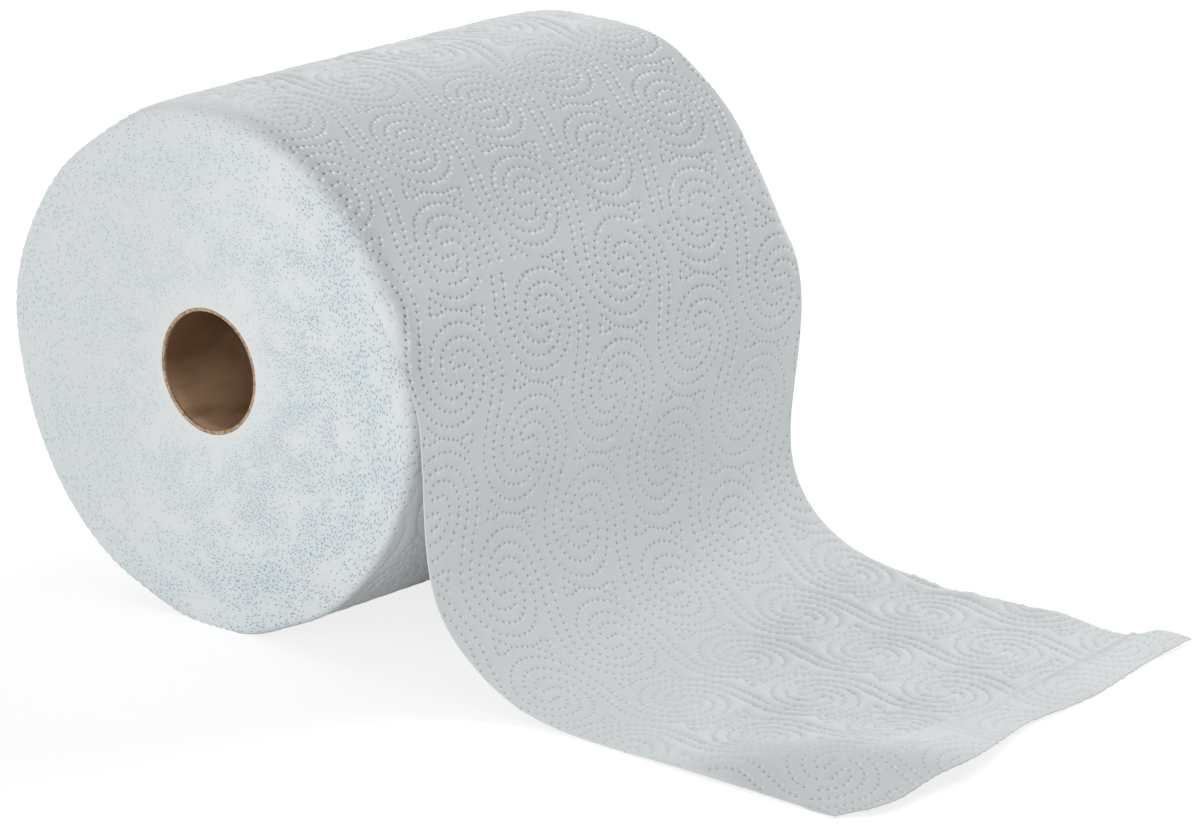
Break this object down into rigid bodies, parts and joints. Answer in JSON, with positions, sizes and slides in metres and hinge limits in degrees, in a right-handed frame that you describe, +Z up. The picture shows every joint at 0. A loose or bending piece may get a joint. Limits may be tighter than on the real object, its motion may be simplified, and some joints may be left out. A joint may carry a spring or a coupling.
{
  "type": "paper towel roll",
  "caption": "Roll of soft embossed paper towel on a brown cardboard core, lying on its side with its loose end hanging down and unrolled across the surface to a torn, buckled edge.",
  "frame": {"origin": "middle of the core's bore, on the roll's axis and half way along it", "axes": "+Y runs along the roll's axis to the end where the torn strip sticks out, +Z is up, +X is the way the loose sheet is unrolled"},
  "size_m": [0.3665, 0.2114, 0.1828],
  "materials": {
    "core_board": "bare brown paperboard, matte",
    "towel_paper": "soft embossed tissue, matte"
  },
  "bodies": {
    "root": {"core_tube": "core_board", "paper_web": "towel_paper"}
  },
  "joints": []
}
